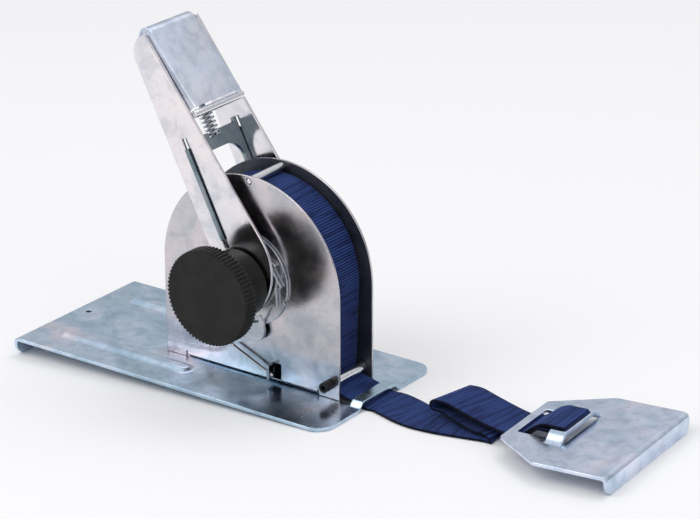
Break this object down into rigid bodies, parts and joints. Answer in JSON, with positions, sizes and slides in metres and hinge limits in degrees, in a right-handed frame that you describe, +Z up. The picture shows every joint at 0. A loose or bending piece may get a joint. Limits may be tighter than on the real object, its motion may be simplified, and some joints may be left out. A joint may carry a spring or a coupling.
{
  "type": "ratchet band clamp",
  "caption": "Lever ratchet on a lipped base plate that winds in woven webbing with a loose hook plate on its end, for pulling boards together.",
  "frame": {"origin": "centre of the clamp's footprint as it lies with its strap slack, on the floor", "axes": "+X from the ratchet towards the hook plate, +Y away from the knob, +Z up"},
  "size_m": [0.4796, 0.1312, 0.2441],
  "materials": {
    "zinc_sheet": "zinc-plated sheet, satin, cloudy blue-grey with faint pink patches",
    "bright_steel": "bright plated round bar",
    "plain_steel": "plain turned and punched steel",
    "spring_steel": "drawn spring wire",
    "black_oxide": "black oxide, lightly oiled",
    "knob_plastic": "moulded, fine satin",
    "webbing": "woven polyester webbing with cross ribs"
  },
  "bodies": {
    "frame": {"base_plate": "zinc_sheet", "side_plate_front": "zinc_sheet", "side_plate_rear": "zinc_sheet", "top_spacer_bar": "bright_steel", "guide_tube": "bright_steel", "guide_screw": "black_oxide", "guide_washer": "plain_steel", "guide_nut": "plain_steel", "shaft_bush_front": "bright_steel", "shaft_bush_rear": "bright_steel", "holding_pawl_pin_front": "bright_steel", "holding_pawl_pin_rear": "bright_steel", "holding_pawl_spring_front": "spring_steel", "holding_pawl_spring_rear": "spring_steel", "strap_lead": "webbing"},
    "drum": {"drum_shaft": "plain_steel", "drum_core": "plain_steel", "strap_roll": "webbing", "guard_disc_front": "zinc_sheet", "guard_disc_rear": "zinc_sheet", "ratchet_wheel_front": "plain_steel", "ratchet_wheel_rear": "plain_steel", "knob": "knob_plastic", "knob_grub_screw": "black_oxide", "knob_washer": "plain_steel", "rear_washer": "plain_steel", "retaining_ring": "spring_steel"},
    "handle": {"handle_arm_front": "zinc_sheet", "handle_arm_rear": "zinc_sheet", "grip_cover": "zinc_sheet", "handle_crossbar": "bright_steel", "spring_seat": "zinc_sheet", "arm_spacer_front": "plain_steel", "arm_spacer_rear": "plain_steel"},
    "drive_pawl": {"drive_pawl": "zinc_sheet", "drive_spring": "spring_steel"},
    "holding_pawl_front": {"holding_pawl_front": "zinc_sheet"},
    "holding_pawl_rear": {"holding_pawl_rear": "zinc_sheet"},
    "strap": {"strap_run": "webbing"},
    "hook": {"hook_plate": "zinc_sheet", "strap_loop": "webbing"}
  },
  "joints": [
    {"name": "drum_spin", "type": "hinge", "parent": "frame", "child": "drum", "pos_m": [-0.06072, 0.0006, 0.07861], "axis": [0, -1, 0], "continuous": true},
    {"name": "handle_swing", "type": "hinge", "parent": "frame", "child": "handle", "pos_m": [-0.06072, 0.0006, 0.07861], "axis": [0, -1, 0], "range_deg": [-120, 60]},
    {"name": "drive_pawl_slide", "type": "slide", "parent": "handle", "child": "drive_pawl", "axis": [-0.4122, 0, 0.9111], "range_m": [-0.0036, 0.0072], "stiffness_N_per_m": 800, "deforming": ["drive_spring"]},
    {"name": "holding_pawl_front_swing", "type": "hinge", "parent": "frame", "child": "holding_pawl_front", "pos_m": [-0.08077, -0.02295, 0.0341], "axis": [0, 1, 0], "range_deg": [0, 10], "stiffness_Nm_per_rad": 0.3, "springref_deg": -5.73, "deforming": ["holding_pawl_spring_front"]},
    {"name": "holding_pawl_rear_swing", "type": "hinge", "parent": "frame", "child": "holding_pawl_rear", "pos_m": [-0.08077, 0.02415, 0.0341], "axis": [0, 1, 0], "range_deg": [0, 10], "stiffness_Nm_per_rad": 0.3, "springref_deg": -5.73, "deforming": ["holding_pawl_spring_rear"]},
    {"name": "hook_slide", "type": "slide", "parent": "frame", "child": "strap", "axis": [1, 0, 0], "range_m": [-0.06, 0], "deforming": ["strap_run"]},
    {"name": "hook_lift", "type": "hinge", "parent": "strap", "child": "hook", "pos_m": [0.14543, 0.0014, 0.0099], "axis": [0.061, -0.9981, 0], "range_deg": [0, 90]}
  ]
}
